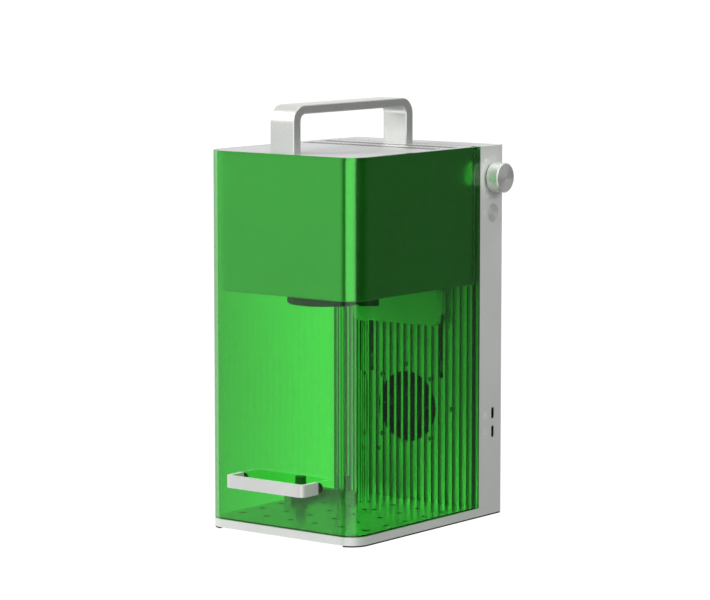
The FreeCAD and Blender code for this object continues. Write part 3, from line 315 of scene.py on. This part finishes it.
def moulded(name, colour, roughness=0.5, grain=1400):
    """Moulded plastic with a fine spark-eroded grain."""
    made = Finish(name, IOR=1.5)
    fine = made.noise(grain, 4)
    cloud = made.noise(40, 2)
    made.colours(cloud, "Fac", [(0.3, shade(colour, 0.85)), (0.7, shade(colour, 1.15))])
    made.spread(fine, "Fac", roughness - 0.08, roughness + 0.1)
    made.bump(fine, "Fac", 0.00004, 0.5)
    return made.material


def acrylic(name, tint, roughness=0.01):
    """See-through coloured acrylic that lets the lamps light what is behind it."""
    made = Finish(name, IOR=1.49, Transmission_Weight=1.0, Roughness=roughness)
    cloud = made.noise(6, 1)
    ramp = made.colours(cloud, "Fac", [(0.3, shade(tint, 0.98)), (0.7, shade(tint, 1.02))])
    # The light's way through the acrylic is longest where the surface turns from the line of sight.
    facing = made.node("ShaderNodeLayerWeight")
    depth = made.node("ShaderNodeMapRange")
    depth.inputs["From Min"].default_value = TURNED_FROM
    depth.inputs["From Max"].default_value = TURNED_TO
    made.link(facing, "Facing", depth, "Value")
    deep = made.node("ShaderNodeMix", data_type="RGBA")
    made.tree.links.new(depth.outputs[0], deep.inputs[0])
    made.tree.links.new(ramp.outputs["Color"], deep.inputs[6])
    deep.inputs[7].default_value = (*shade(tint, 0.2), 1)
    made.tree.links.new(deep.outputs[2], made.shader.inputs["Base Color"])
    clear = made.node("ShaderNodeBsdfTransparent")
    clear.inputs["Color"].default_value = (*[channel ** 0.5 for channel in tint], 1)
    path = made.node("ShaderNodeLightPath")
    mix = made.node("ShaderNodeMixShader")
    made.link(path, "Is Shadow Ray", mix, 0)
    made.tree.links.new(made.shader.outputs[0], mix.inputs[1])
    made.tree.links.new(clear.outputs[0], mix.inputs[2])
    made.link(mix, 0, made.out, "Surface")
    return made.material


def spun(name, colour):
    """Aluminium turned on a lathe: fine rings, and soft fans of light painted into its colour as
    highlights, both about the knob's axis.
    """
    made = Finish(name, Metallic=0.7, Anisotropic=0.75)
    made.shader.inputs["Anisotropic Rotation"].default_value = 0.25
    low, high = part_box("knob")
    middle = (low + high) / 2
    shifted = made.node("ShaderNodeVectorMath", operation="SUBTRACT")
    shifted.inputs[1].default_value = middle
    made.link(made.place, "Object", shifted, 0)
    split = made.node("ShaderNodeSeparateXYZ")
    made.link(shifted, "Vector", split, 0)
    # Painted highlight: the colour grows lighter and darker in fans round the knob's axis, standing for
    # turned metal's reflection.
    angle = made.node("ShaderNodeMath", operation="ARCTAN2")
    made.link(split, "Y", angle, 0)
    made.link(split, "Z", angle, 1)
    fans = made.node("ShaderNodeMath", operation="MULTIPLY")
    made.link(angle, 0, fans, 0)
    fans.inputs[1].default_value = 2
    wave = made.node("ShaderNodeMath", operation="COSINE")
    made.link(fans, 0, wave, 0)
    share = made.node("ShaderNodeMapRange")
    share.inputs["From Min"].default_value = -1
    made.link(wave, 0, share, "Value")
    made.colours(share, "Result", [(0.0, shade(colour, 0.78)), (1.0, shade(colour, 1.12))])
    flat = made.node("ShaderNodeCombineXYZ")
    made.link(split, "Y", flat, "X")
    made.link(split, "Z", flat, "Y")
    radius = made.node("ShaderNodeVectorMath", operation="LENGTH")
    made.link(flat, 0, radius, 0)
    rings = made.node("ShaderNodeTexNoise", noise_dimensions="1D")
    rings.inputs["Scale"].default_value = 9000
    made.link(radius, "Value", rings, "W")
    made.spread(rings, "Fac", 0.28, 0.42)
    made.bump(rings, "Fac", 0.00002, 0.5)
    tangent = made.node("ShaderNodeTangent", direction_type="RADIAL", axis="X")
    made.link(tangent, "Tangent", made.shader, "Tangent")
    return made.material


def satin(name, colour, roughness):
    """Smooth aluminium with a fine horizontal drawn grain."""
    made = Finish(name, Metallic=1.0)
    lines = made.noise(700, 3, (0.03, 0.03, 3))
    made.colours(lines, "Fac", [(0.3, shade(colour, 0.97)), (0.7, shade(colour, 1.02))])
    made.spread(lines, "Fac", roughness - 0.02, roughness + 0.03)
    return made.material


def fluted(name, colour):
    """The fluted wall: satin ribs and sheet, with painted shade on the flanks from a rib's face to the
    sheet.
    """
    made = Finish(name, Metallic=0.85)
    fine = made.noise(1800, 3)
    made.spread(fine, "Fac", 0.33, 0.42)
    depth = made.node("ShaderNodeMapRange")
    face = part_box("ribbed_wall")[0].y
    depth.inputs["From Min"].default_value = face
    depth.inputs["From Max"].default_value = face + RIB_DEPTH
    made.link(made.position(), "Y", depth, "Value")
    # Painted shade: between a rib's face and the sheet the colour turns dark, standing for shadow on
    # the rib flanks.
    dark = shade(colour, 0.22)
    made.colours(depth, 0, [(0.04, colour), (0.08, dark), (0.92, dark), (0.96, shade(colour, 0.96))])
    return made.material


def lid_look(name, colour):
    """The head's lid: blasted on top, polished round its edge, and with painted shade inside its slots.
    """
    made = Finish(name, Metallic=0.3)
    grain = made.noise(2400, 3)
    made.spread(grain, "Fac", 0.4, 0.5)
    split = made.position()
    low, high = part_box("head_lid")
    top = made.test("GREATER_THAN", split, "Z", high.z - SKIN)
    # Painted shade: faces below the lid's top, the slots' walls among them, are coloured near-black to
    # stand for shadow.
    made.colours(top, 0, [(0.4, HOLLOW_SHADE), (0.6, colour)])
    side = made.node("ShaderNodeMath", operation="ABSOLUTE")
    made.link(split, "X", side, 0)
    rim_side = made.test("GREATER_THAN", side, 0, high.x - LID_SIDE_RIM)
    rim_front = made.test("LESS_THAN", split, "Y", low.y + LID_FRONT_RIM)
    rim = made.node("ShaderNodeMath", operation="MAXIMUM")
    made.link(rim_side, 0, rim, 0)
    made.link(rim_front, 0, rim, 1)
    below = made.node("ShaderNodeMath", operation="SUBTRACT", use_clamp=True)
    made.link(rim, 0, below, 0)
    made.link(top, 0, below, 1)
    polished = made.node("ShaderNodeBsdfPrincipled")
    polished.inputs["Base Color"].default_value = (0.76, 0.77, 0.75, 1)
    polished.inputs["Metallic"].default_value = 1
    polished.inputs["Roughness"].default_value = 0.2
    both = made.node("ShaderNodeMixShader")
    made.link(below, 0, both, 0)
    made.link(made.shader, "BSDF", both, 1)
    made.link(polished, "BSDF", both, 2)
    made.link(both, 0, made.out, "Surface")
    return made.material


def plate_look(name, colour):
    """The work plate: satin on top, with painted shade on every face below the top, which shows inside
    its threaded holes.
    """
    made = Finish(name, Metallic=1.0)
    fine = made.noise(2600, 3)
    top = made.test("GREATER_THAN", made.position(), "Z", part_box("work_plate")[1].z - SKIN)
    # Painted shade: faces below the plate's top, the holes' walls among them, are coloured near-black
    # to stand for shadow.
    made.colours(top, 0, [(0.4, HOLLOW_SHADE), (0.6, colour)])
    made.spread(fine, "Fac", 0.2, 0.3)
    made.bump(fine, "Fac", 0.00001, 0.4)
    return made.material


SILVER = (0.76, 0.785, 0.75)
# Looks by the record's material slot.
LOOKS = {
    "frame_aluminium": blasted("frame_aluminium", SILVER, 0.3, 0.45),
    "plate_aluminium": blasted("plate_aluminium", (0.62, 0.63, 0.62), 0.35, 0.42),
    "black_metal": blasted("black_metal", (0.03, 0.03, 0.032), 0.3, 0.5),
    "black_plastic": moulded("black_plastic", (0.022, 0.022, 0.024)),
    "pad_rubber": moulded("pad_rubber", (0.02, 0.02, 0.02), 0.75),
    "green_sheet": acrylic("green_sheet", (0.18, 0.71, 0.185)),
    "bright_aluminium": blasted("bright_aluminium", (0.7, 0.71, 0.69), 0.35, 0.36),
    "ground_steel": brushed("ground_steel", (0.6, 0.6, 0.62), 1.0, 0.25, (1, 1, 0.02)),
    "screw_steel": brushed("screw_steel", (0.5, 0.5, 0.52), 1.0, 0.35, (1, 1, 1)),
    "bronze": brushed("bronze", (0.62, 0.4, 0.16), 1.0, 0.32, (1, 1, 0.1)),
    "board_green": moulded("board_green", (0.02, 0.12, 0.05), 0.4),
    "lens_glass": acrylic("lens_glass", (0.75, 0.7, 0.85)),
    "mirror_coat": brushed("mirror_coat", (0.8, 0.72, 0.5), 1.0, 0.1, (1, 1, 1)),
    "fan_plastic": moulded("fan_plastic", (0.018, 0.018, 0.02), 0.42),
    "module_blue": blasted("module_blue", (0.035, 0.04, 0.05), 0.6, 0.4),
}
# Nodes whose surface differs from the rest of their slot.
OWN_LOOKS = {
    "head_shell": satin("satin_shell", (0.8, 0.81, 0.79), 0.2),
    "head_lid": lid_look("lid_aluminium", (0.5, 0.505, 0.5)),
    "column_cap": blasted("cap_aluminium", (0.5, 0.505, 0.5), 0.3, 0.45),
    "carry_handle": blasted("handle_aluminium", (0.66, 0.675, 0.65), 0.75, 0.3),
    "ribbed_wall": fluted("wall_aluminium", (0.68, 0.69, 0.68)),
    "corner_fence": blasted("fence_aluminium", (0.24, 0.25, 0.24), 0.6, 0.35),
    "fence_screw_left": brushed("fence_steel", (0.2, 0.2, 0.2), 0.9, 0.3, (1, 1, 0.02)),
    "fence_screw_rear": brushed("rear_fence_steel", (0.2, 0.2, 0.2), 0.9, 0.3, (1, 1, 0.02)),
    "power_button": spun("button_aluminium", (0.85, 0.87, 0.84)),
    "ribbed_wall_screws": blasted("dark_screws", (0.16, 0.16, 0.16), 0.9, 0.35),
    # Partly painted shade: the sockets, steel shells included, are coloured black so that their
    # openings read as dark slots.
    "usb_c_sockets": blasted("socket_black", (0.02, 0.02, 0.02), 0.5, 0.4),
    "knob": spun("spun_aluminium", (0.88, 0.9, 0.86)),
    "work_plate": plate_look("work_plate", (0.72, 0.73, 0.72)),
}


FLOOR_RADIUS = 6


def add_floor():
    """A pale round floor: white to direct rays, grey to soft light, and unseen in reflections."""
    mesh = bpy.data.meshes.new("floor")
    make = bmesh.new()
    bmesh.ops.create_circle(make, cap_ends=True, segments=96, radius=FLOOR_RADIUS)
    make.to_mesh(mesh)
    make.free()
    item = bpy.data.objects.new("floor", mesh)
    scene.collection.objects.link(item)
    made = Finish("floor", Roughness=0.9)
    cloud = made.noise(3, 2)
    made.colours(cloud, "Fac", [(0.3, (0.09, 0.09, 0.09)), (0.7, (0.11, 0.11, 0.11))])
    # Direct rays see a brightness graded by the compass angle from the main camera's spot.
    shown = made.node("ShaderNodeEmission")
    away = made.node("ShaderNodeVectorMath", operation="SUBTRACT")
    away.inputs[1].default_value = CAMERA_SPOT
    made.link(made.place, "Object", away, 0)
    split = made.node("ShaderNodeSeparateXYZ")
    made.link(away, "Vector", split, 0)
    _, level = backdrop_level(made.tree, split.outputs["X"], split.outputs["Y"])
    made.tree.links.new(level, shown.inputs["Strength"])
    mix = made.node("ShaderNodeMixShader")
    made.tree.links.new(direct(made.tree), mix.inputs[0])
    made.link(made.shader, "BSDF", mix, 1)
    made.link(shown, "Emission", mix, 2)
    # Mirror reflections see the studio's walls instead of the floor.
    path = made.node("ShaderNodeLightPath")
    clear = made.node("ShaderNodeBsdfTransparent")
    seen = made.node("ShaderNodeMixShader")
    made.link(path, "Is Glossy Ray", seen, 0)
    made.link(mix, 0, seen, 1)
    made.link(clear, 0, seen, 2)
    made.link(seen, 0, made.out, "Surface")
    mesh.materials.append(made.material)


add_floor()
for label, item in NODES.items():
    item.data.materials[0] = OWN_LOOKS.get(label) or LOOKS[item.data.materials[0].name]


# ---------------------------------------------------------------- added pieces

def prism(make, outline, place, across, up, thick):
    """Adds a flat shape; its outline lies in the plane of across and up, and it is thick beyond it."""
    across, up = Vector(across), Vector(up)
    lift = across.cross(up) * thick
    low = [make.verts.new(Vector(place) + across * a + up * b) for a, b in outline]
    high = [make.verts.new(vert.co + lift) for vert in low]
    make.faces.new(list(reversed(low)))
    make.faces.new(high)
    for i in range(len(low)):
        j = (i + 1) % len(low)
        make.faces.new((low[i], low[j], high[j], high[i]))


def arc(radius, start, end, steps):
    """Points on an arc round the origin; angles in degrees from the first axis."""
    turns = [math.radians(start + (end - start) * i / steps) for i in range(steps + 1)]
    return [(radius * math.cos(t), radius * math.sin(t)) for t in turns]


def band(radius, width, start, end, steps):
    """The outline of a curved stripe between two angles."""
    return arc(radius + width / 2, start, end, steps) + arc(radius - width / 2, end, start, steps)


def disc(radius, steps=24):
    """A circle's outline."""
    return arc(radius, 0, 360 - 360 / steps, steps - 1)


def bar(x, y, width, height):
    """A rectangle's outline about the point x, y."""
    return [(x - width / 2, y - height / 2), (x + width / 2, y - height / 2),
            (x + width / 2, y + height / 2), (x - width / 2, y + height / 2)]


def stadium(width, length, steps=8):
    """A slot's outline, its length along the second axis."""
    half = length / 2 - width / 2
    top = [(x, y + half) for x, y in arc(width / 2, 0, 180, steps)]
    bottom = [(x, y - half) for x, y in arc(width / 2, 180, 360, steps)]
    return top + bottom


def add_piece(name, make, body, material):
    """Turns a mesh in the making into a piece that rides on a body."""
    bmesh.ops.recalc_face_normals(make, faces=make.faces)
    mesh = bpy.data.meshes.new(name)
    make.to_mesh(mesh)
    make.free()
    mesh.materials.append(material)
    item = bpy.data.objects.new(name, mesh)
    scene.collection.objects.link(item)
    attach(item, body)


# Sizes of the added pieces, in millimetres.
MARK_THICK = 0.06
MARK_LINE = 0.5
KNOB_ARC_RADIUS = 16.4
BUTTON_MARK_AWAY = 12
SOCKET_MARK_AWAY = 10.6
SOCKET_IN = 5.2
LID_ROWS = (20.75, 43.75)
LID_SLOT_PITCH = 5
LID_SLOTS_EACH_SIDE = 13
LID_SHADE_WIDTH, LID_SHADE_LENGTH = 2.5, 13.9
LID_SHADE_DEPTH, LID_SHADE_THICK = 1.25, 0.9
HOLE_PITCH = 25
HOLE_COLUMNS = (-2.5, -1.5, -0.5, 0.5, 1.5, 2.5)
HOLE_ROWS = 5
FIRST_HOLE_ROW = 67.65
RING_INNER, RING_OUTER = 1.3, 2.5
RING_LIFT = 0.02
RING_SIDES = 32
EXHAUST_SHADE_RADIUS = 26.8
EXHAUST_SHADE_IN, EXHAUST_SHADE_THICK = 1.4, 0.6


def add_column_marks():
    """Plain printed marks beside the knob, the button and the two sockets."""
    make = bmesh.new()
    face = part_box("main_frame")[1].x
    knob = sum(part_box("knob"), Vector()) / 2
    button = sum(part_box("power_button"), Vector()) / 2
    low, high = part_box("usb_c_sockets")
    depth = MARK_THICK * MM

    def mark(y, z, outline):
        prism(make, [(a * MM, b * MM) for a, b in outline], (face, y, z), (0, 1, 0), (0, 0, 1), depth)

    mark(knob.y, knob.z, band(KNOB_ARC_RADIUS, 0.6, 131, 224, 30))
    mark(knob.y - 10.6 * MM, knob.z + 14.4 * MM, disc(1.3))
    for step in range(3):
        mark(knob.y - 10.8 * MM, knob.z - 15.2 * MM, bar(2.8 * step - 2.8, 0, 2.1, 1.5))
    mark(button.y - BUTTON_MARK_AWAY * MM, button.z, band(2.1, MARK_LINE, 125, 415, 20))
    mark(button.y - BUTTON_MARK_AWAY * MM, button.z, bar(0, 1.7, MARK_LINE, 2.4))
    side = (low.y + high.y) / 2 - SOCKET_MARK_AWAY * MM
    box_sides = ((0, 1.9, 3.8, MARK_LINE), (0, -1.9, 3.8, MARK_LINE),
                 (-1.7, 0, MARK_LINE, 3.3), (1.7, 0, MARK_LINE, 3.3))
    for height, inner in ((high.z - SOCKET_IN * MM, True), (low.z + SOCKET_IN * MM, False)):
        for x, y, width, tall in box_sides:
            mark(side, height, bar(x, y, width, tall))
        if inner:
            mark(side, height, bar(0, 0, 1.3, 1.3))
    add_piece("column_marks", make, "base", MARK_INK)


def add_lid_slot_shade():
    """Black sheets just below the surface of the lid's two rows of slots: painted shade inside the
    slots.
    """
    make = bmesh.new()
    low_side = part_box("head_lid")[1].z - LID_SHADE_DEPTH * MM
    outline = [(a * MM, b * MM) for a, b in stadium(LID_SHADE_WIDTH, LID_SHADE_LENGTH)]
    for row in LID_ROWS:
        for step in range(-LID_SLOTS_EACH_SIDE, LID_SLOTS_EACH_SIDE + 1):
            prism(make, outline, (LID_SLOT_PITCH * step * MM, row * MM, low_side),
                  (1, 0, 0), (0, 1, 0), LID_SHADE_THICK * MM)
    add_piece("lid_slot_shade", make, "head", LOOKS["black_plastic"])


def add_hole_shade_rings():
    """Flat dark rings round the work plate's threaded holes: painted shade at the holes' mouths."""
    make = bmesh.new()
    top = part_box("work_plate")[1].z + RING_LIFT * MM
    turns = [i * 2 * math.pi / RING_SIDES for i in range(RING_SIDES)]
    for row in range(HOLE_ROWS):
        for step in HOLE_COLUMNS:
            x, y = HOLE_PITCH * step * MM, (HOLE_PITCH * row - FIRST_HOLE_ROW) * MM
            inner, outer = [[make.verts.new((x + radius * math.cos(t) * MM,
                                             y + radius * math.sin(t) * MM, top)) for t in turns]
                            for radius in (RING_INNER, RING_OUTER)]
            for i in range(RING_SIDES):
                j = (i + 1) % RING_SIDES
                make.faces.new((inner[i], outer[i], outer[j], inner[j]))
    add_piece("hole_shade_rings", make, "base", LOOKS["black_metal"])


def add_exhaust_shade_disc():
    """A black disc behind the exhaust fan: painted shade inside the fan opening."""
    make = bmesh.new()
    low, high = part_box("exhaust_duct")
    middle = (low + high) / 2
    prism(make, disc(EXHAUST_SHADE_RADIUS * MM, 64),
          (middle.x, low.y + EXHAUST_SHADE_IN * MM, middle.z),
          (1, 0, 0), (0, 0, 1), EXHAUST_SHADE_THICK * MM)
    add_piece("exhaust_shade_disc", make, "base", FAN_HOLE_SHADE)


MARK_INK = moulded("mark_ink", (0.95, 0.96, 0.94), 0.5)
# Painted shade: a near-black look for the disc in the exhaust duct.
FAN_HOLE_SHADE = moulded("fan_hole_shade", (0.012, 0.012, 0.012), 0.7, 2600)
add_column_marks()
add_lid_slot_shade()
add_exhaust_shade_disc()
add_hole_shade_rings()
